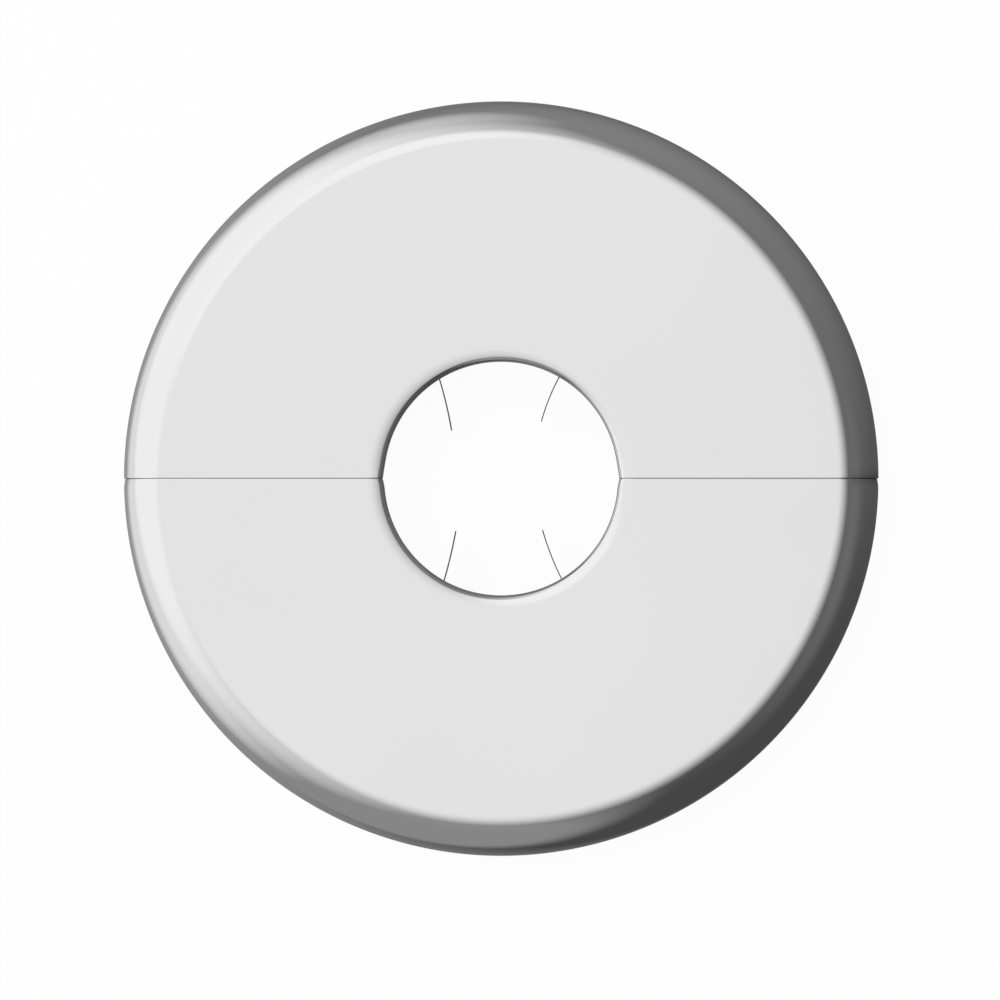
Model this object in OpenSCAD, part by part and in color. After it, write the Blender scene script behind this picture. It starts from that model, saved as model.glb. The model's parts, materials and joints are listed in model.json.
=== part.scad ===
// Split pipe rosette of pressed sheet. It lies on its rim with the face up, the pipe's axis is
// the Z axis, and the seam between the two halves runs along X.

/* [Rosette] */
// Outside diameter of the closed rosette
rosette_d = 70; // [66:0.5:110]
// Height from the rim on the wall to the face
rosette_h = 8.5; // [8:0.1:14]
// Thickness of the pressed sheet
sheet_t = 0.5; // [0.4:0.05:0.8]
// Inside radius of the bend between the face and the skirt
shoulder_bend = 3.45; // [1.5:0.05:4]

/* [Pipe hole] */
// Outside diameter of the pipe
pipe_d = 21.3; // [17:0.1:25]
// Room between the pipe and the lip, on each side
pipe_room = 0.15; // [0.1:0.05:0.5]
// Inside radius of the bend where the face turns down into the hole
lip_bend = 0.05; // [0.05:0.05:0.8]
// Depth of the lip below the face
lip_depth = 2.6; // [2:0.1:3.2]

/* [Seam] */
// Gap between the two halves when they are pushed together
seam_gap = 0.08; // [0.04:0.02:0.4]
// Radius of the corners where the seam meets the hole
seam_corner = 0.3; // [0.1:0.05:0.6]

/* [Spring clips] */
// Thickness of the spring strip
strip_t = 0.1; // [0.1:0.05:0.4]
// Height of the spring strip
strip_h = 3.2; // [2:0.1:3.6]
// Drop from the end of the lip to the strip
strip_drop = 0.8; // [0.3:0.1:1.2]
// Distance from the wall of the hole back to the crown of the clip
crown_back = 10.2; // [8:0.1:12]
// Inside radius of the bends between the arms and the crown
crown_bend = 3; // [1:0.1:5]
// Half the distance between the tips of the two arms
arm_spread = 4.1; // [3.2:0.1:6]
// How far the tips stand in from the wall of the hole
arm_reach = 5.95; // [3:0.05:7]
// Lean of an arm at its tip, away from the other arm
arm_lean = 13; // [5:0.5:20]
// Further lean that an arm takes up in its lead-in
arm_bend = 9; // [6:0.5:14]
// Length of the curved lead-in of an arm
lead_in = 4.6; // [2:0.1:6]
// Width of the foot that carries the clip
foot_w = 6; // [4:0.1:9]
// Length of the foot along the back of the face
foot_l = 5; // [3:0.1:7]
// Inside radius of the bend of the foot
foot_bend = 0.4; // [0.2:0.05:1]

/* [Tongues and keepers] */
// Thickness of the tongues
tongue_t = 0.5; // [0.3:0.05:0.8]
// Width of the tongues
tongue_w = 7; // [5:0.1:8]
// Length of a tongue on the half that it is welded to
tongue_hold = 10.5; // [8:0.1:13]
// Length of a tongue past the seam
tongue_reach = 12; // [10.5:0.1:14]
// Width of the bead along a tongue
bead_w = 2.4; // [1.6:0.1:3]
// Height of the bead along a tongue
bead_h = 0.3; // [0.15:0.05:0.4]
// Thickness of the keepers
keeper_t = 0.4; // [0.3:0.05:0.6]
// Length of a keeper along its tongue
keeper_l = 5; // [3:0.1:5.5]
// Distance of a keeper from the seam
keeper_back = 4; // [2:0.1:4.5]
// Width of each foot of a keeper
keeper_foot = 2.8; // [2:0.1:3.2]
// Inside radius of the bends of a keeper
keeper_bend = 0.2; // [0.1:0.05:0.3]
// Room above and below a tongue in its keeper
slide_room = 0.05; // [0.03:0.01:0.15]
// Room at each side of a tongue in its keeper
side_room = 0.1; // [0.05:0.05:0.3]

/* [Spot welds] */
// Diameter of a spot weld
weld_d = 1.4; // [0.8:0.1:1.6]
// Depth of the mark that a spot weld leaves
weld_mark = 0.04; // [0.02:0.01:0.08]

/* [Hidden] */
$fn = 96;

// Steps that a bend of a strip is drawn with
bend_steps = 12;
// Length that a cutting shape stands past what it cuts
past = 1;
// Places of the spot welds, as shares of a tongue's hold and of the length of a clip's foot
tongue_welds = [0.3, 0.8];
foot_weld = 0.6;

rosette_r = rosette_d / 2;
hole_r = pipe_d / 2 + pipe_room;
shoulder_r = shoulder_bend + sheet_t;
lip_r = lip_bend + sheet_t;
// The flat of the face lies between these radii
flat_in = hole_r + lip_r;
flat_out = rosette_r - shoulder_r;
face_back = rosette_h - sheet_t;
lip_end = rosette_h - lip_depth;
strip_top = lip_end - strip_drop;
crown_y = hole_r + crown_back;
tongue_x = (flat_in + flat_out) / 2;
tongue_top = face_back - slide_room;
channel_h = tongue_t + bead_h + 2 * slide_room;

// What each arm has taken beyond the nominal, as the clips are set by hand:
// outwards, reach, lean at the tip, and lean in the lead-in
upper_set = [[-0.36, -0.46, 2, 5], [0.51, 0.39, -3.5, -2]];
lower_set = [[0.12, -0.02, -2.5, -3.5], [-0.26, 0.11, 2.8, 1.2]];

// A bent strip is drawn along stops on its middle line, each a point and a direction
function turned(v, a) = [v.x * cos(a) - v.y * sin(a), v.x * sin(a) + v.y * cos(a)];
function to_left(v) = [-v.y, v.x];
function way(a, b) = (b - a) / norm(b - a);
function back_to_front(list) = [for (i = [len(list) - 1:-1:0]) list[i]];
function mirrored(points) = [for (p = points) [-p.x, p.y]];

// Stops round a bend of radius r that turns left by the angle turn, or right if it is negative
function bend(start, dir, turn, r) =
    let (centre = start + sign(turn) * r * to_left(dir))
    [for (i = [0:bend_steps])
        let (a = turn * i / bend_steps)
        [centre + turned(start - centre, a), turned(dir, a)]];

// Stops round the corner b of a line from a to c, at radius r
function corner(a, b, c, r) =
    let (
        u = way(a, b),
        v = way(b, c),
        turn = atan2(u.x * v.y - u.y * v.x, u * v)
    )
    bend(b - r * tan(abs(turn) / 2) * u, u, turn, r);

// Stops along a line through points, with each corner rounded at radius r
function bent_line(points, r) =
    let (last = len(points) - 1)
    [
        [points[0], way(points[0], points[1])],
        for (i = [1:last - 1]) each corner(points[i - 1], points[i], points[i + 1], r),
        [points[last], way(points[last - 1], points[last])]
    ];

// One side of a strip, at a distance to the left of its middle line
function side(stops, distance) = [for (s = stops) s[0] + distance * to_left(s[1])];

// Outline of a strip of thickness t
function strip(stops, t) = concat(side(stops, t / 2), back_to_front(side(stops, -t / 2)));

// Section of the space under a skin that lies the given depth below the rosette's surface
module under_skin(depth) {
    translate([flat_in, rosette_h - lip_r])
        circle(lip_r - depth);
    translate([flat_out, rosette_h - shoulder_r])
        circle(shoulder_r - depth);
    translate([hole_r + depth, -past])
        square([lip_r - depth, rosette_h - lip_r + past]);
    translate([flat_in, -past])
        square([flat_out - flat_in, rosette_h - depth + past]);
    translate([flat_out, -past])
        square([shoulder_r - depth, rosette_h - shoulder_r + past]);
}

// Section of the pressed sheet from the lip over the face to the skirt
module sheet_section() {
    difference() {
        under_skin(0);
        under_skin(sheet_t);
        translate([0, -past])
            square([flat_in, lip_end + past]);
        translate([flat_in, -past])
            square([shoulder_r + flat_out - flat_in + past, past]);
    }
}

// Rounds the corner between the seam and the hole, on the side that x points to
module seam_corner_cut() {
    translate([hole_r - past, seam_gap / 2 - past, 0])
        linear_extrude(rosette_h + past)
            difference() {
                square(past + seam_corner);
                translate([past + seam_corner, past + seam_corner])
                    circle(seam_corner);
            }
}

module half_shell() {
    difference() {
        intersection() {
            rotate_extrude()
                sheet_section();
            translate([-rosette_d, seam_gap / 2, -past])
                cube([2 * rosette_d, rosette_d, rosette_h + 2 * past]);
        }
        seam_corner_cut();
        mirror([1, 0, 0])
            seam_corner_cut();
    }
}

function tip_y(set) = hole_r - arm_reach - set[1];

// Stops of a clip's right arm, from its tip to the middle of the crown
function arm(set) =
    let (
        tip = [arm_spread + set[0], tip_y(set)],
        lean = arm_lean + set[2],
        turn = arm_bend + set[3],
        lead_r = lead_in / turn * 180 / PI,
        lead = bend(tip, [sin(lean), cos(lean)], -turn, lead_r),
        knee = lead[bend_steps][0],
        shoulder = [knee.x + (crown_y - knee.y) * tan(lean + turn), crown_y],
        middle = [0, crown_y]
    )
    concat(lead, corner(knee, shoulder, middle, crown_bend + strip_t / 2), [[middle, [-1, 0]]]);

// Outline of a clip in plan, its right arm first
function clip_outline(sets) =
    let (right = arm(sets[0]), left = arm(sets[1]))
    concat(
        side(right, -strip_t / 2),
        back_to_front(mirrored(side(left, -strip_t / 2))),
        mirrored(side(left, strip_t / 2)),
        back_to_front(side(right, strip_t / 2))
    );

// The room that an arm with a rounded tip keeps to, on the side that x points to
module arm_room(set) {
    translate([0, tip_y(set) + strip_h / 2, strip_top - strip_h / 2]) {
        rotate([0, 90, 0])
            cylinder(d = strip_h, h = rosette_r);
        translate([0, 0, -strip_h / 2])
            cube([rosette_r, rosette_r, strip_h]);
    }
}

module clip_foot() {
    foot_z = face_back - strip_t / 2;
    line = [[crown_y, strip_top - strip_h / 2], [crown_y, foot_z], [crown_y + foot_l, foot_z]];
    translate([-foot_w / 2, 0, 0])
        rotate([90, 0, 90])
            linear_extrude(foot_w)
                polygon(strip(bent_line(line, foot_bend + strip_t / 2), strip_t));
}

module spring_clip(sets) {
    difference() {
        union() {
            intersection() {
                translate([0, 0, strip_top - strip_h])
                    linear_extrude(strip_h)
                        polygon(clip_outline(sets));
                union() {
                    arm_room(sets[0]);
                    mirror([1, 0, 0])
                        arm_room(sets[1]);
                }
            }
            clip_foot();
        }
        for (x = [-1, 1] * foot_w / 4)
            translate([x, crown_y + foot_l * foot_weld, face_back - strip_t - past])
                cylinder(d = weld_d, h = past + weld_mark);
    }
}

// The rounded length that forms a tongue's bead, at the given radius
module bead_core(r, height) {
    from = weld_d - tongue_reach + tongue_w / 2;
    to = tongue_hold - bead_w;
    translate([0, to, height])
        rotate([90, 0, 0])
            cylinder(r = r, h = to - from);
    for (y = [from, to])
        translate([0, y, height])
            sphere(r);
}

module tongue() {
    bead_r = (bead_w * bead_w / 4 + bead_h * bead_h) / (2 * bead_h);
    bottom = tongue_top - tongue_t;
    centre = bottom - bead_h + bead_r;
    nose_y = tongue_w / 2 - tongue_reach;
    // Half way between the bead and the side of the tongue
    weld_x = (bead_w / 2 + tongue_w / 2) / 2;
    translate([tongue_x, 0, 0]) {
        difference() {
            union() {
                translate([0, 0, bottom])
                    linear_extrude(tongue_t) {
                        translate([0, nose_y])
                            circle(d = tongue_w);
                        translate([-tongue_w / 2, nose_y])
                            square([tongue_w, tongue_hold - nose_y]);
                    }
                intersection() {
                    bead_core(bead_r, centre);
                    translate([-bead_w, -tongue_reach, bottom - bead_h])
                        cube([2 * bead_w, tongue_reach + tongue_hold, bead_h + tongue_t / 2]);
                }
            }
            bead_core(bead_r - tongue_t, centre);
            for (x = [-1, 1] * weld_x, y = tongue_welds * tongue_hold)
                translate([x, y, bottom - past])
                    cylinder(d = weld_d, h = past + weld_mark);
        }
        for (x = [-1, 1] * weld_x, y = tongue_welds * tongue_hold)
            translate([x, y, tongue_top - tongue_t / 2])
                cylinder(d = weld_d, h = slide_room + tongue_t / 2);
    }
}

module keeper() {
    leg = tongue_w / 2 + side_room + keeper_t / 2;
    toe = leg + keeper_t / 2 + keeper_foot;
    foot_z = face_back - keeper_t / 2;
    roof_z = foot_z - channel_h;
    line = [[-toe, foot_z], [-leg, foot_z], [-leg, roof_z], [leg, roof_z], [leg, foot_z], [toe, foot_z]];
    bend_r = min(keeper_bend + keeper_t / 2, channel_h / 2);
    translate([-tongue_x, keeper_back + keeper_l, 0])
        difference() {
            rotate([90, 0, 0])
                linear_extrude(keeper_l)
                    polygon(strip(bent_line(line, bend_r), keeper_t));
            for (x = [-1, 1] * (toe - keeper_foot / 2))
                translate([x, -keeper_l / 2, face_back - keeper_t - past])
                    cylinder(d = weld_d, h = past + weld_mark);
        }
}

module upper_shell() {
    color("gainsboro")
        half_shell();
}

module lower_shell() {
    color("gainsboro")
        rotate(180)
            half_shell();
}

module upper_spring_clip() {
    color("slategray")
        spring_clip(upper_set);
}

module lower_spring_clip() {
    color("slategray")
        rotate(180)
            spring_clip(lower_set);
}

module upper_tongue() {
    color("darkgray")
        tongue();
}

module lower_tongue() {
    color("darkgray")
        rotate(180)
            tongue();
}

module upper_keeper() {
    color("silver")
        keeper();
}

module lower_keeper() {
    color("silver")
        rotate(180)
            keeper();
}

upper_shell();
lower_shell();
upper_spring_clip();
lower_spring_clip();
upper_tongue();
lower_tongue();
upper_keeper();
lower_keeper();
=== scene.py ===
"""Looks of a split pipe rosette: two pressed halves in bright chrome, and the spring clips,
tongues and keepers behind them, on a pale floor under soft studio light."""

import json
from math import atan2, cos, pi, radians, sin, tau

import bpy
from bpy.props import FloatProperty, FloatVectorProperty, IntProperty, PointerProperty
from bpy.types import NodeSocket, Operator, Panel, PropertyGroup
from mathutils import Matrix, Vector


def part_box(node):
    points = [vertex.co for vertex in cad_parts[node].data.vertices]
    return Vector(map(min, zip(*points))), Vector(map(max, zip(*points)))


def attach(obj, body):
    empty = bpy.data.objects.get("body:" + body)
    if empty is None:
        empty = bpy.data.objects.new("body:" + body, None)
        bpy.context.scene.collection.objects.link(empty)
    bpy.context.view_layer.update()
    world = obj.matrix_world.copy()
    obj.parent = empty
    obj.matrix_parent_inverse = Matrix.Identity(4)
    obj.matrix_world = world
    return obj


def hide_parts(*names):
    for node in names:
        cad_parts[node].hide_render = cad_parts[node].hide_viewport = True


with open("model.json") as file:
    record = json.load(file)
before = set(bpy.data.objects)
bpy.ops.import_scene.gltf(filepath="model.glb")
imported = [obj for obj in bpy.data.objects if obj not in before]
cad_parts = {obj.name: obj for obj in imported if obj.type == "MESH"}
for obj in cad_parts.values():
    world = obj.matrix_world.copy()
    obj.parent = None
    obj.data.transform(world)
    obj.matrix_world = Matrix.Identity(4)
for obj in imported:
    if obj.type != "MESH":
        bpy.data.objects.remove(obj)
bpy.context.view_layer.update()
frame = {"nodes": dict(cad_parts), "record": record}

bl_info = {
    "name": "Pipe rosette",
    "version": (1, 0, 0),
    "blender": (4, 5, 0),
    "location": "3D View > Sidebar > Rosette",
    "description": "Builds the finished halves of a split pipe rosette and the stage it is shown on",
    "category": "Object",
}

MM = 0.001
RECORD = frame["record"]
HALVES = {"upper": 0.0, "lower": pi}
HOLE_RADIUS = RECORD["mounts"][0]["dims"]["r_mm"] * MM
FACE_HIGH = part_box("upper_shell")[1]

# How each half's sheet edge is shaped along the seam, in millimetres: the roll's width and
# depth, how far the edge leans outwards from the pipe, and along what length it does so
SEAM_EDGES = {
    "upper": {"skirt": (0.08, 0.08, 0), "face": (0.2, 0.03, 0), "lip": (0.1, 0.1, 0.12), "length": 2.0},
    "lower": {"skirt": (0.1, 0.1, -0.11), "face": (0.15, 0.03, 0), "lip": (0.1, 0.1, 0.12), "length": 1.0},
}


# Where the upper half's spot welds are, in millimetres. The lower half's are the same turned round.
WELDS = {
    "tongue": ((18.85, 3.15), (23.55, 3.15), (18.85, 8.4), (23.55, 8.4)),
    "keeper": ((-15.8, 6.5), (-26.6, 6.5)),
    "spring_clip": ((-1.5, 24), (1.5, 24)),
}


# Properties that a user would change

def length(name, description, default, **more):
    return FloatProperty(name=name, description=description, default=default, min=0,
                         unit="LENGTH", subtype="DISTANCE", precision=5, **more)


def colour(name, description, default):
    return FloatVectorProperty(name=name, description=description, default=default,
                               min=0, max=1, subtype="COLOR")


def share(name, description, default):
    return FloatProperty(name=name, description=description, default=default,
                         min=0, max=1, subtype="FACTOR")


class RosetteSizes(PropertyGroup):
    radius: length("Radius", "Outside radius of the rosette", FACE_HIGH.x)
    height: length("Height", "Height of the face above the wall", FACE_HIGH.z)
    sheet: length("Sheet", "Thickness of the pressed sheet", 0.5 * MM)
    shoulder: length("Shoulder", "Outside radius of the bend between face and skirt", 3.95 * MM)
    hole: length("Hole", "Radius of the pipe hole", HOLE_RADIUS)
    dish: length("Dish", "Radius of the slight dish round the hole", 6.6 * MM)
    dish_slope: FloatProperty(name="Dish slope", description="Slope of the dish where the lip's bend starts",
                              default=radians(10), subtype="ANGLE")
    lip: length("Lip", "Outside radius of the bend between face and lip", 0.52 * MM)
    lip_depth: length("Lip depth", "Depth of the lip below the face", 2.6 * MM)
    seam: length("Seam", "Gap that shows between the pushed-together halves", 0.002 * MM)
    steps: IntProperty(name="Steps", description="Steps round each half", default=240, min=24)
    roll_steps: IntProperty(name="Roll steps", description="Steps over a seam edge", default=6, min=2)


class RosetteFinish(PropertyGroup):
    chrome: colour("Chrome", "Bright chrome of the face", (0.78, 0.78, 0.78))
    flash: colour("Flash", "Thin dull plating behind the face", (0.5, 0.5, 0.49))
    spring: colour("Spring steel", "Dark rolled strip of the clips", (0.115, 0.118, 0.125))
    nickel: colour("Nickel", "Dull plating of the tongues and keepers", (0.55, 0.54, 0.51))
    tint: colour("Heat tint", "Straw colour that a spot weld leaves", (0.42, 0.30, 0.16))
    gloss: share("Face roughness", "Roughness of the polished chrome", 0.05)
    dull: share("Back roughness", "Roughness behind the face", 0.34)


class RosetteStage(PropertyGroup):
    distance: length("Distance", "Height of the camera above the wall plane", 450 * MM)
    aside: length("Aside", "How far the camera stands to the right of the pipe's axis", 1.5 * MM)
    lens: FloatProperty(name="Lens", description="Focal length of the camera in millimetres", default=172.8)
    floor: colour("Floor", "Pale floor", (0.93, 0.93, 0.93))
    shadow: share("Shadow", "How much of the floor's shadow the camera sees", 0.04)
    ambient: share("Ambient", "Even light on matt surfaces", 0.6)
    dark: share("Dark studio", "What polished metal mirrors between the soft boxes", 0.076)


# A few words for building node trees

class Graph:
    """Adds nodes to a tree, so that a formula reads as lines of code."""

    def __init__(self, tree):
        self.tree = tree
        self.given = None

    def take(self, name):
        """The group's own input of that name."""
        if self.given is None:
            self.given = self.tree.nodes.new("NodeGroupInput")
        return self.given.outputs[name]

    def feed(self, socket, value):
        if isinstance(value, NodeSocket):
            self.tree.links.new(value, socket)
        elif value is not None:
            socket.default_value = value

    def add(self, kind, *values, named=None, **settings):
        """A node with its settings, fed in the order of its sockets and then by name."""
        node = self.tree.nodes.new(kind)
        for key, setting in settings.items():
            setattr(node, key, setting)
        for socket, value in zip(node.inputs, values):
            self.feed(socket, value)
        for key, value in (named or {}).items():
            self.feed(node.inputs[key], value)
        return node

    def math(self, operation, *values, clamp=False):
        return self.add("ShaderNodeMath", *values, operation=operation, use_clamp=clamp).outputs[0]

    def vector(self, operation, *values):
        node = self.add("ShaderNodeVectorMath", *values, operation=operation)
        return node.outputs["Value" if operation in ("DOT_PRODUCT", "LENGTH", "DISTANCE") else "Vector"]

    def blend(self, low, high, factor):
        """low where factor is 0, high where it is 1."""
        return self.math("MULTIPLY_ADD", factor, self.math("SUBTRACT", high, low), low)

    def ramp(self, value, low, high, smooth=True):
        """0 below low, 1 above high."""
        kind = "SMOOTHSTEP" if smooth else "LINEAR"
        return self.add("ShaderNodeMapRange", value, low, high, 0.0, 1.0, interpolation_type=kind).outputs[0]

    def fall(self, value, low, high):
        """1 below low, 0 above high."""
        return self.math("SUBTRACT", 1.0, self.ramp(value, low, high))

    def mix(self, factor, one, other):
        """A colour between two."""
        node = self.add("ShaderNodeMix", data_type="RGBA")
        self.feed(node.inputs["Factor"], factor)
        self.feed(node.inputs[6], one)
        self.feed(node.inputs[7], other)
        return node.outputs[2]

    def noise(self, vector, scale, detail=2.0):
        return self.add("ShaderNodeTexNoise", named={"Vector": vector, "Scale": scale, "Detail": detail}).outputs[0]

    def give(self, **values):
        """Feeds the group's outputs."""
        node = self.tree.nodes.new("NodeGroupOutput")
        for key, value in values.items():
            self.feed(node.inputs[key.replace("_", " ")], value)


def new_tree(name, kind, takes, gives):
    """An empty node group with named sockets."""
    tree = bpy.data.node_groups.new(name, kind)
    for way, sockets in (("INPUT", takes), ("OUTPUT", gives)):
        for socket, form in sockets:
            tree.interface.new_socket(name=socket, in_out=way, socket_type="NodeSocket" + form)
    return tree


def rgba(rgb):
    return (*rgb, 1.0)


# Shapes

def bend(stations, radius, start, end, steps, edge):
    """Adds the stations of a bend that carries on from the last one.

    The sheet faces the angle start before the bend and end after it.
    """
    r, z = stations[-1][:2]
    r, z = r - radius * cos(start), z - radius * sin(start)
    for i in range(1, steps + 1):
        a = start + (end - start) * i / steps
        stations.append((r + radius * cos(a), z + radius * sin(a), a, edge(a)))


def section_line(sizes, edges):
    """Stations on the polished side of the sheet, from the foot of the skirt to the end of the lip.

    Each is a radius, a height, the angle that the sheet faces and the shape of its seam edge.
    """
    skirt, face, lip = (Vector(edges[part]) * MM for part in ("skirt", "face", "lip"))
    skirt_steps, flat_steps, wall_steps, face_up = 4, 8, 3, pi / 2
    out, top, shoulder_low = sizes.radius - sizes.shoulder, sizes.height, sizes.height - sizes.shoulder
    stations = [(sizes.radius, shoulder_low * i / skirt_steps, 0.0, skirt) for i in range(skirt_steps + 1)]
    bend(stations, sizes.shoulder, 0.0, face_up, 48, lambda a: face.lerp(skirt, cos(a)))
    dish_low = face_up + sizes.dish_slope
    flat_in = sizes.hole + sizes.lip * (1 - sin(sizes.dish_slope)) + sizes.dish * sin(sizes.dish_slope)
    # Close stations at both ends of the flat keep its reflection flat
    inset = 0.15 * MM
    flat = [out - inset, *(out + (flat_in - out) * i / flat_steps for i in range(1, flat_steps)), flat_in + inset, flat_in]
    stations += [(r, top, face_up, face) for r in flat]
    bend(stations, sizes.dish, face_up, dish_low, 8, lambda a: face)
    bend(stations, sizes.lip, dish_low, pi, 16, lambda a: face.lerp(lip, -cos(a)))
    lip_top, lip_end = stations[-1][1], top - sizes.lip_depth
    stations += [(sizes.hole, lip_top + (lip_end - lip_top) * i / wall_steps, pi, lip) for i in range(1, wall_steps + 1)]
    return stations


def section_mesh(stations):
    """The section as a chain of points that carry the way the sheet faces and its seam edge."""
    mesh = bpy.data.meshes.new("section")
    mesh.from_pydata([(r, 0, z) for r, z, _, _ in stations],
                     [(i, i + 1) for i in range(len(stations) - 1)], [])
    for name, values in (("facing", [(cos(a), 0, sin(a)) for _, _, a, _ in stations]),
                         ("edge", [edge for _, _, _, edge in stations])):
        mesh.attributes.new(name, "FLOAT_VECTOR", "POINT").data.foreach_set("vector", [c for v in values for c in v])
    return mesh


def pressed_half_tree():
    """Turns a section through half a turn, with parallel rolled edges along the seam.

    The sheet is one closed skin. Each station is a ring of rows: over the polished side from one
    seam edge to the other, and back behind it. A station more at each end folds the skin over
    the sheet's thickness.
    """
    tree = new_tree("pressed_half", "GeometryNodeTree",
                    [("Section", "Geometry"), ("Seam gap", "Float"), ("Lean length", "Float"), ("Sheet", "Float"),
                     ("Turn", "Float"), ("Steps", "Int"), ("Roll steps", "Int"), ("Finish", "Material")],
                    [("Shell", "Geometry")])
    g = Graph(tree)
    section = g.take("Section")
    stations = g.add("GeometryNodeAttributeDomainSize", section, component="MESH").outputs["Point Count"]
    side_rows = g.math("ADD", g.math("MULTIPLY_ADD", g.take("Roll steps"), 2.0, 1.0), g.take("Steps"))
    rows = g.math("MULTIPLY_ADD", side_rows, 2.0, 1.0)
    grid = g.add("GeometryNodeMeshGrid", 1.0, 1.0, g.math("ADD", stations, 2.0), rows).outputs["Mesh"]

    index = g.add("GeometryNodeInputIndex").outputs[0]
    station = g.math("FLOOR", g.math("DIVIDE", g.math("ADD", index, 0.5), rows))
    ring = g.math("MULTIPLY", side_rows, 2.0)
    row = g.math("SUBTRACT", index, g.math("MULTIPLY", station, rows))
    row = g.math("MULTIPLY", row, g.math("LESS_THAN", row, g.math("SUBTRACT", ring, 0.5)))
    front = g.math("LESS_THAN", row, g.math("SUBTRACT", side_rows, 0.5))
    across = g.math("MINIMUM", row, g.math("SUBTRACT", g.math("SUBTRACT", ring, 1.0), row))
    to_seam = g.math("MINIMUM", across, g.math("SUBTRACT", g.math("SUBTRACT", side_rows, 1.0), across))

    def along_section(value):
        """The section's value at this row's station."""
        at = g.math("SUBTRACT", station, 1.0)
        return g.add("GeometryNodeSampleIndex", section, value, at, data_type="FLOAT_VECTOR", clamp=True).outputs[0]

    def carried(name):
        return g.add("GeometryNodeInputNamedAttribute", name, data_type="FLOAT_VECTOR").outputs[0]

    point = along_section(g.add("GeometryNodeInputPosition").outputs[0])
    facing = along_section(carried("facing"))
    width, drop, lean = g.add("ShaderNodeSeparateXYZ", along_section(carried("edge"))).outputs

    roll = g.math("MULTIPLY", g.math("DIVIDE", to_seam, g.take("Roll steps"), clamp=True), pi / 2)
    from_seam = g.math("MULTIPLY_ADD", width, g.math("SUBTRACT", 1.0, g.math("COSINE", roll)),
                       g.math("MULTIPLY", g.take("Seam gap"), 0.5))
    rolled_off = g.math("MULTIPLY", drop, g.math("SUBTRACT", 1.0, g.math("SINE", roll)))
    middle = g.math("MULTIPLY", g.math("ADD", stations, 1.0), 0.5)
    inside = g.math("LESS_THAN", g.math("ABSOLUTE", g.math("SUBTRACT", station, middle)),
                    g.math("MULTIPLY", stations, 0.5))
    polished = g.math("MULTIPLY", front, inside)
    depth = g.blend(g.take("Sheet"), rolled_off, polished)

    inwards = g.add("ShaderNodeVectorMath", facing, operation="SCALE", named={"Scale": depth}).outputs[0]
    radius, _, height = g.add("ShaderNodeSeparateXYZ", g.vector("SUBTRACT", point, inwards)).outputs
    # Rows lie closest near the seam, where the edge leans
    gone = g.math("DIVIDE", g.math("SUBTRACT", across, g.take("Roll steps")), g.take("Steps"), clamp=True)
    gone = g.math("MULTIPLY_ADD", g.math("SINE", g.math("MULTIPLY", gone, tau)), -0.8 / tau, gone)
    nearest = g.math("MULTIPLY", g.math("MINIMUM", gone, g.math("SUBTRACT", 1.0, gone)), g.math("MULTIPLY", radius, pi))
    leaning = g.math("SUBTRACT", 1.0, g.math("DIVIDE", nearest, g.take("Lean length"), clamp=True))
    radius = g.math("MULTIPLY_ADD", lean, g.math("POWER", leaning, 2.0), radius)
    edge = g.math("ARCSINE", g.math("DIVIDE", from_seam, radius))
    sweep = g.math("SUBTRACT", pi, g.math("MULTIPLY", edge, 2.0))
    angle = g.math("ADD", g.math("MULTIPLY_ADD", gone, sweep, edge), g.take("Turn"))
    position = g.add("ShaderNodeCombineXYZ", g.math("MULTIPLY", radius, g.math("COSINE", angle)),
                     g.math("MULTIPLY", radius, g.math("SINE", angle)), height).outputs[0]

    skin = g.add("GeometryNodeSetPosition", grid, None, position).outputs[0]
    skin = g.add("GeometryNodeStoreNamedAttribute", skin, None, "back",
                 g.math("SUBTRACT", 1.0, polished), data_type="FLOAT", domain="POINT").outputs[0]
    skin = g.add("GeometryNodeMergeByDistance", skin, None, 1e-6).outputs[0]
    # The grid's rows run the other way round, so its faces would look into the sheet
    skin = g.add("GeometryNodeFlipFaces", skin).outputs[0]
    skin = g.add("GeometryNodeSetShadeSmooth", skin, None, True, domain="FACE").outputs[0]
    fold = g.add("GeometryNodeInputMeshEdgeAngle").outputs["Unsigned Angle"]
    creased = g.add("FunctionNodeCompare", fold, radians(35), data_type="FLOAT", operation="GREATER_THAN").outputs[0]
    skin = g.add("GeometryNodeSetShadeSmooth", skin, creased, False, domain="EDGE").outputs[0]
    skin = g.add("GeometryNodeRealizeInstances", skin).outputs[0]
    skin = g.add("GeometryNodeSetMaterial", skin, None, g.take("Finish")).outputs[0]
    g.give(Shell=skin)
    return tree


def weld_rim_tree():
    """Sets a low ring of pressed-up metal round each weld mark."""
    tree = new_tree("weld_rims", "GeometryNodeTree",
                    [("Marks", "Geometry"), ("Radius", "Float"), ("Bead", "Float"), ("Finish", "Material")],
                    [("Rims", "Geometry")])
    g = Graph(tree)
    ring = g.add("GeometryNodeCurvePrimitiveCircle", named={"Resolution": 32, "Radius": g.take("Radius")}).outputs[0]
    bead = g.add("GeometryNodeCurvePrimitiveCircle", named={"Resolution": 8, "Radius": g.take("Bead")}).outputs[0]
    rim = g.add("GeometryNodeCurveToMesh", ring, bead).outputs[0]
    rims = g.add("GeometryNodeInstanceOnPoints", named={"Points": g.take("Marks"), "Instance": rim}).outputs[0]
    rims = g.add("GeometryNodeRealizeInstances", rims).outputs[0]
    rims = g.add("GeometryNodeSetShadeSmooth", rims, None, True, domain="FACE").outputs[0]
    rims = g.add("GeometryNodeSetMaterial", rims, None, g.take("Finish")).outputs[0]
    g.give(Rims=rims)
    return tree


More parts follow.
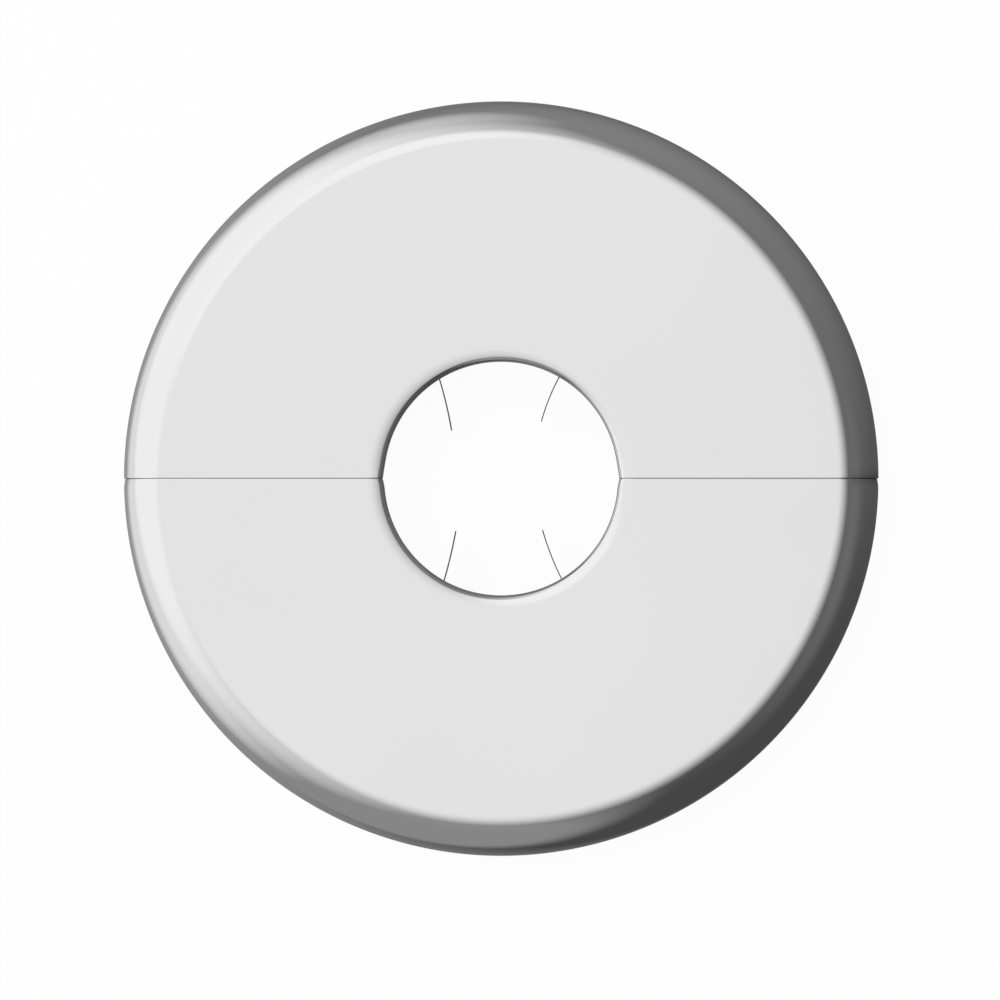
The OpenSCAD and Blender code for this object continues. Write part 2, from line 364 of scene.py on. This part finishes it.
def weld_marks(half, part, radius):
    """A point on the back of a piece for each of its weld marks, just at the surface."""
    turned = cos(HALVES[half])
    piece = frame["nodes"][half + "_" + part]
    points = []
    for x, y in WELDS[part]:
        centre = Vector((x * turned, y * turned, 0)) * MM
        beside = centre + Vector((0, 1.15 * radius, -1))
        hit, surface, _, _ = piece.ray_cast(beside, (0, 0, 1))
        if not hit:
            raise RuntimeError(f"no surface by the weld mark of {piece.name} at {x}, {y}")
        points.append((centre.x, centre.y, surface.z))
    mesh = bpy.data.meshes.new("marks")
    mesh.from_pydata(points, [], [])
    return mesh


def grown(name, mesh, tree, **values):
    """An object whose plain mesh is what the node tree makes of the given mesh."""
    made = bpy.data.objects.new(name, mesh)
    bpy.context.scene.collection.objects.link(made)
    modifier = made.modifiers.new(tree.name, "NODES")
    modifier.node_group = tree
    for item in tree.interface.items_tree:
        key = item.name.replace(" ", "_")
        if item.in_out == "INPUT" and key in values:
            modifier[item.identifier] = values[key]
    graph = bpy.context.evaluated_depsgraph_get()
    result = bpy.data.meshes.new_from_object(made.evaluated_get(graph), preserve_all_data_layers=True, depsgraph=graph)
    made.modifiers.remove(modifier)
    made.data = result
    result.name = name
    return made


# Materials

def material(name):
    """A new material with an empty tree, as the material and its graph."""
    made = bpy.data.materials.new(name)
    made.use_nodes = True
    made.node_tree.nodes.clear()
    return made, Graph(made.node_tree)


def metal(g, base, roughness, normal):
    """Closes a material as metal."""
    shader = g.add("ShaderNodeBsdfPrincipled", named={"Base Color": base, "Roughness": roughness,
                                                      "Metallic": 1.0, "Normal": normal})
    g.add("ShaderNodeOutputMaterial", shader.outputs[0])


def group_in(g, tree, **values):
    """Places a shared group and feeds its inputs by name."""
    return g.add("ShaderNodeGroup", node_tree=tree, named={k.replace("_", " "): v for k, v in values.items()}).outputs


def polish_group():
    """Fine hairlines of the polishing wheel and soft haze, as a mask and as a height."""
    tree = new_tree("polish_lines", "ShaderNodeTree",
                    [("Vector", "Vector"), ("Line density", "Float"), ("Stretch", "Float")],
                    [("Haze", "Float"), ("Lines", "Float")])
    g = Graph(tree)
    stretched = g.vector("MULTIPLY", g.take("Vector"), g.add("ShaderNodeCombineXYZ", 1.0, g.take("Stretch"), 1.0).outputs[0])
    lines = g.noise(stretched, g.take("Line density"), 6.0)
    haze = g.ramp(g.noise(g.take("Vector"), 60.0, 3.0), 0.35, 0.75)
    g.give(Haze=haze, Lines=lines)
    return tree


def weld_halo_group():
    """Heat tint round one spot weld."""
    tree = new_tree("weld_halo", "ShaderNodeTree",
                    [("Vector", "Vector"), ("Centre", "Vector"), ("Radius", "Float")], [("Tint", "Float")])
    g = Graph(tree)
    away = g.vector("DISTANCE", g.take("Vector"), g.take("Centre"))
    ratio = g.math("DIVIDE", away, g.take("Radius"))
    ring = g.math("SUBTRACT", g.ramp(ratio, 0.35, 0.8), g.ramp(ratio, 0.8, 1.5))
    g.give(Tint=ring)
    return tree


def folded_place(g):
    """Object coordinates folded so that a half and its turned twin read the same place, flat in Z."""
    coordinates = g.add("ShaderNodeTexCoord").outputs["Object"]
    axes = g.add("ShaderNodeSeparateXYZ", coordinates).outputs
    sign = g.math("SIGN", axes["X"])
    flat = g.add("ShaderNodeCombineXYZ", g.math("ABSOLUTE", axes["X"]), g.math("MULTIPLY", axes["Y"], sign), 0.0)
    return coordinates, flat.outputs[0]


def tinted(g, base, tint, place, halo, parts):
    """The base colour with a heat tint round each weld mark of the named parts."""
    folded = {(abs(x), y if x > 0 else -y) for part in parts for x, y in WELDS[part]}
    tints = [group_in(g, halo, Vector=place, Centre=(x * MM, y * MM, 0.0), Radius=1.3 * MM)["Tint"]
             for x, y in sorted(folded)]
    total = tints[0]
    for more in tints[1:]:
        total = g.math("ADD", total, more)
    return g.mix(g.math("MULTIPLY", total, 0.55, clamp=True), base, tint)


def painted_seam_and_lip_shade(g, x, y, z):
    """How much painted shade darkens the chrome: in the seam's groove, at its right end, and down in the lip."""
    from_seam, from_axis = g.math("ABSOLUTE", y), g.vector("LENGTH", g.add("ShaderNodeCombineXYZ", x, y, 0.0).outputs[0])
    groove = g.fall(from_seam, 0.01 * MM, 0.06 * MM)
    right_end = g.math("MULTIPLY", g.fall(from_seam, -0.4 * MM, 1.1 * MM), g.ramp(x, 10 * MM, 30 * MM))
    depth = g.math("ADD", g.fall(z, 8.2 * MM, 8.5 * MM), g.fall(z, 6 * MM, 8.3 * MM))
    lip = g.math("MULTIPLY", g.fall(from_axis, 10.9 * MM, 11.3 * MM), g.fall(z, 7.7 * MM, 8.15 * MM))
    shades = g.math("MULTIPLY_ADD", groove, 0.45, g.math("MULTIPLY", g.math("MULTIPLY", right_end, depth), 0.33))
    return g.math("MULTIPLY_ADD", lip, 0.6, shades, clamp=True)


def chrome_material(finish, polish):
    """Bright chrome on the polished side, thin dull plating with draw marks behind it."""
    made, g = material("bright_chrome")
    coordinates = g.add("ShaderNodeTexCoord").outputs["Object"]
    back = g.add("ShaderNodeAttribute", attribute_name="back").outputs["Fac"]
    marks = group_in(g, polish, Vector=coordinates, Line_density=700.0, Stretch=0.04)
    cloud = g.noise(coordinates, 35.0, 3.0)
    bright = g.mix(g.ramp(cloud, 0.2, 0.8), rgba([c * 0.985 for c in finish.chrome]), rgba([c * 1.01 for c in finish.chrome]))
    patchy = g.mix(g.ramp(g.noise(coordinates, 180.0, 5.0), 0.3, 0.7), rgba([c * 0.85 for c in finish.flash]), rgba(finish.flash))
    axes = g.add("ShaderNodeSeparateXYZ", coordinates).outputs
    # Painted shade: the chrome colour is darkened in the seam's groove, at the seam's right end and down the lip wall
    shade = painted_seam_and_lip_shade(g, axes["X"], axes["Y"], axes["Z"])
    bright = g.mix(shade, bright, rgba([c * 0.1 for c in finish.chrome]))
    base = g.mix(g.ramp(back, 0.02, 0.6), bright, patchy)
    polished_roughness = g.math("MULTIPLY_ADD", marks["Haze"], 0.02, finish.gloss)
    rough_back = g.math("MULTIPLY_ADD", marks["Lines"], 0.12, finish.dull)
    roughness = g.blend(polished_roughness, rough_back, g.ramp(back, 0.02, 0.6))
    height = g.math("MULTIPLY", marks["Lines"], g.blend(0.05, 1.0, back))
    bump = g.add("ShaderNodeBump", named={"Strength": 0.1, "Distance": 0.00002, "Height": height}).outputs[0]
    metal(g, base, roughness, bump)
    return made


def spring_material(finish, polish, halo):
    """Dark rolled spring steel."""
    made, g = material("spring_steel")
    coordinates, place = folded_place(g)
    marks = group_in(g, polish, Vector=coordinates, Line_density=2500.0, Stretch=0.05)
    base = g.mix(marks["Haze"], rgba([c * 0.85 for c in finish.spring]), rgba([c * 1.15 for c in finish.spring]))
    base = tinted(g, base, rgba(finish.tint), place, halo, ["spring_clip"])
    roughness = g.math("MULTIPLY_ADD", marks["Lines"], 0.2, 0.25)
    bump = g.add("ShaderNodeBump", named={"Strength": 0.2, "Distance": 0.00002, "Height": marks["Lines"]}).outputs[0]
    metal(g, base, roughness, bump)
    return made


def nickel_material(finish, polish, halo):
    """Dull nickel flash over steel."""
    made, g = material("dull_nickel")
    coordinates, place = folded_place(g)
    marks = group_in(g, polish, Vector=coordinates, Line_density=1500.0, Stretch=0.06)
    base = g.mix(marks["Haze"], rgba([c * 0.88 for c in finish.nickel]), rgba(finish.nickel))
    base = tinted(g, base, rgba(finish.tint), place, halo, ["tongue", "keeper"])
    roughness = g.math("MULTIPLY_ADD", marks["Lines"], 0.25, 0.22)
    bump = g.add("ShaderNodeBump", named={"Strength": 0.25, "Distance": 0.00002, "Height": marks["Lines"]}).outputs[0]
    metal(g, base, roughness, bump)
    return made


# Stage

# Soft boxes that polished metal mirrors. Each has the compass angle that it hangs at, its angle
# down from the zenith, its radius and soft edge in degrees, and its strength.
MAIN_BOXES = {
    "skylight": (124, 22, 22, 12, 1.11),
    "overhead": (161, 10, 30, 21, 0.99),
    "left": (163, 56, 57, 28, 1.09),
    "upper left": (120, 70, 34, 22, 0.7),
    "lower left": (178, 79, 53, 21, 0.89),
    "floor glow": (177, 114, 65, 55, 0.41),
}
FILL_BOXES = {
    "below": (229, 67, 53, 9, 0.23),
    "above": (97, 75, 72, 60, 0.19),
    "right": (342, 53, 16, 17, 0.06),
}


def soft_box_group():
    """How brightly a round soft box shines from a direction."""
    tree = new_tree("soft_box", "ShaderNodeTree",
                    [("Direction", "Vector"), ("Towards", "Vector"), ("Radius", "Float"),
                     ("Soft edge", "Float"), ("Strength", "Float")], [("Glow", "Float")])
    g = Graph(tree)
    off = g.math("ARCCOSINE", g.vector("DOT_PRODUCT", g.take("Direction"), g.take("Towards")))
    dark = g.ramp(off, g.math("SUBTRACT", g.take("Radius"), g.take("Soft edge")),
                  g.math("ADD", g.take("Radius"), g.take("Soft edge")))
    g.give(Glow=g.math("MULTIPLY", g.math("SUBTRACT", 1.0, dark), g.take("Strength")))
    return tree


def studio_world(stage):
    """White to the camera, even light for matt surfaces, and soft boxes in a dim room for metal."""
    world = bpy.data.worlds.new("studio")
    bpy.context.scene.world = world
    world.use_nodes = True
    world.node_tree.nodes.clear()
    g = Graph(world.node_tree)
    box = soft_box_group()
    direction = g.add("ShaderNodeTexCoord").outputs["Generated"]

    def glow(compass, down, radius, soft, strength):
        a, d = radians(compass), radians(down)
        towards = (sin(d) * cos(a), sin(d) * sin(a), cos(d))
        return group_in(g, box, Direction=direction, Towards=towards, Radius=radians(radius),
                        Soft_edge=radians(soft), Strength=strength)["Glow"]

    room = stage.dark
    for values in FILL_BOXES.values():
        room = g.math("ADD", room, glow(*values))
    for values in MAIN_BOXES.values():
        room = g.math("MAXIMUM", room, glow(*values))
    path = g.add("ShaderNodeLightPath").outputs
    level = g.blend(stage.ambient, room, path["Is Glossy Ray"])
    level = g.blend(level, 1.0, path["Is Camera Ray"])
    shine = g.add("ShaderNodeBackground", (1, 1, 1, 1), level)
    g.add("ShaderNodeOutputWorld", shine.outputs[0])


def pale_floor(stage):
    """A floor that reads white to the camera and keeps a little of the object's shadow."""
    size = 3.0
    mesh = bpy.data.meshes.new("floor")
    below = -0.02 * MM
    mesh.from_pydata([(x * size, y * size, below) for x, y in ((-1, -1), (1, -1), (1, 1), (-1, 1))], [], [(0, 1, 2, 3)])
    floor = bpy.data.objects.new("floor", mesh)
    bpy.context.scene.collection.objects.link(floor)
    made, g = material("pale_floor")
    matt = g.add("ShaderNodeBsdfDiffuse", rgba(stage.floor)).outputs[0]
    white = g.add("ShaderNodeEmission", (1, 1, 1, 1), 1.0).outputs[0]
    path = g.add("ShaderNodeLightPath").outputs
    seen = g.math("MULTIPLY", path["Is Camera Ray"], 1 - stage.shadow)
    g.add("ShaderNodeOutputMaterial", g.add("ShaderNodeMixShader", seen, matt, white).outputs[0])
    mesh.materials.append(made)
    # Polished metal mirrors the studio's own lower half instead, which is dim on the right
    floor.visible_glossy = False


def key_lamp():
    """One large soft lamp above and to the left, for matt surfaces and the shadow."""
    data = bpy.data.lights.new("key", "AREA")
    data.shape, data.size, data.energy = "DISK", 0.7, 4.4
    lamp = bpy.data.objects.new("key", data)
    lamp.location = (-0.45, 0.35, 0.85)
    lamp.rotation_euler = (-lamp.location).to_track_quat("-Z", "Y").to_euler()
    lamp.visible_glossy = False
    bpy.context.scene.collection.objects.link(lamp)


def overhead_camera(stage):
    """Looks straight down, with the rosette's centre a little above the middle of the picture."""
    data = bpy.data.cameras.new("camera")
    data.lens = stage.lens
    camera = bpy.data.objects.new("camera", data)
    aim = Vector((-0.123, -1.982, 0)) * MM
    camera.location = aim + Vector((stage.aside, 0, stage.distance))
    camera.rotation_euler = (0, atan2(stage.aside, stage.distance), 0)
    bpy.context.scene.collection.objects.link(camera)
    bpy.context.scene.camera = camera


# Operators

class ROSETTE_OT_halves(Operator):
    """Build the two pressed halves of the rosette"""
    bl_idname = "rosette.halves"
    bl_label = "Pressed halves"

    def execute(self, context):
        sizes, finish = context.scene.rosette_sizes, context.scene.rosette_finish
        tree = pressed_half_tree()
        chrome = chrome_material(finish, bpy.data.node_groups.get("polish_lines") or polish_group())
        for half, turn in HALVES.items():
            edges = SEAM_EDGES[half]
            section = section_mesh(section_line(sizes, edges))
            shell = grown(half + "_pressing", section, tree, Seam_gap=sizes.seam, Lean_length=edges["length"] * MM,
                          Sheet=sizes.sheet, Turn=turn, Steps=sizes.steps, Roll_steps=sizes.roll_steps, Finish=chrome)
            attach(shell, half + "_half")
            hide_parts(half + "_shell")
        return {"FINISHED"}


class ROSETTE_OT_hardware(Operator):
    """Finish the spring clips, tongues and keepers behind the halves"""
    bl_idname = "rosette.hardware"
    bl_label = "Clips, tongues and keepers"

    def execute(self, context):
        finish = context.scene.rosette_finish
        polish = bpy.data.node_groups.get("polish_lines") or polish_group()
        halo = weld_halo_group()
        spring, nickel = spring_material(finish, polish, halo), nickel_material(finish, polish, halo)
        rims = weld_rim_tree()
        rim_radius, rim_bead = 0.7 * MM, 0.05 * MM
        for half in HALVES:
            for part, look, slot in (("spring_clip", spring, "spring_steel"),
                                     ("tongue", nickel, "plated_steel"), ("keeper", nickel, "plated_steel")):
                piece = frame["nodes"][half + "_" + part]
                piece.data.materials.clear()
                piece.data.materials.append(look)
                welds = grown(half + "_" + part + "_welds", weld_marks(half, part, rim_radius), rims,
                              Radius=rim_radius, Bead=rim_bead, Finish=look)
                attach(welds, half + "_half")
        return {"FINISHED"}


class ROSETTE_OT_stage(Operator):
    """Set up the floor, the studio light and the camera"""
    bl_idname = "rosette.stage"
    bl_label = "Stage"

    def execute(self, context):
        stage = context.scene.rosette_stage
        pale_floor(stage)
        studio_world(stage)
        key_lamp()
        overhead_camera(stage)
        context.scene.view_settings.view_transform = "Standard"
        return {"FINISHED"}


class ROSETTE_PT_sidebar(Panel):
    """Sizes, finishes and steps of the rosette"""
    bl_idname = "ROSETTE_PT_sidebar"
    bl_label = "Pipe rosette"
    bl_space_type = "VIEW_3D"
    bl_region_type = "UI"
    bl_category = "Rosette"

    def draw(self, context):
        for group in ("rosette_sizes", "rosette_finish", "rosette_stage"):
            settings = getattr(context.scene, group)
            box = self.layout.box()
            for name in settings.__annotations__:
                box.prop(settings, name)
        for operator in STEPS:
            self.layout.operator(operator.bl_idname)


STEPS = (ROSETTE_OT_stage, ROSETTE_OT_halves, ROSETTE_OT_hardware)
CLASSES = (RosetteSizes, RosetteFinish, RosetteStage, *STEPS, ROSETTE_PT_sidebar)


def register():
    for each in CLASSES:
        bpy.utils.register_class(each)
    bpy.types.Scene.rosette_sizes = PointerProperty(type=RosetteSizes)
    bpy.types.Scene.rosette_finish = PointerProperty(type=RosetteFinish)
    bpy.types.Scene.rosette_stage = PointerProperty(type=RosetteStage)


def unregister():
    for group in ("rosette_sizes", "rosette_finish", "rosette_stage"):
        delattr(bpy.types.Scene, group)
    for each in reversed(CLASSES):
        bpy.utils.unregister_class(each)


def main():
    register()
    bpy.ops.rosette.stage()
    bpy.ops.rosette.halves()
    bpy.ops.rosette.hardware()


if __name__ == "__main__":
    main()
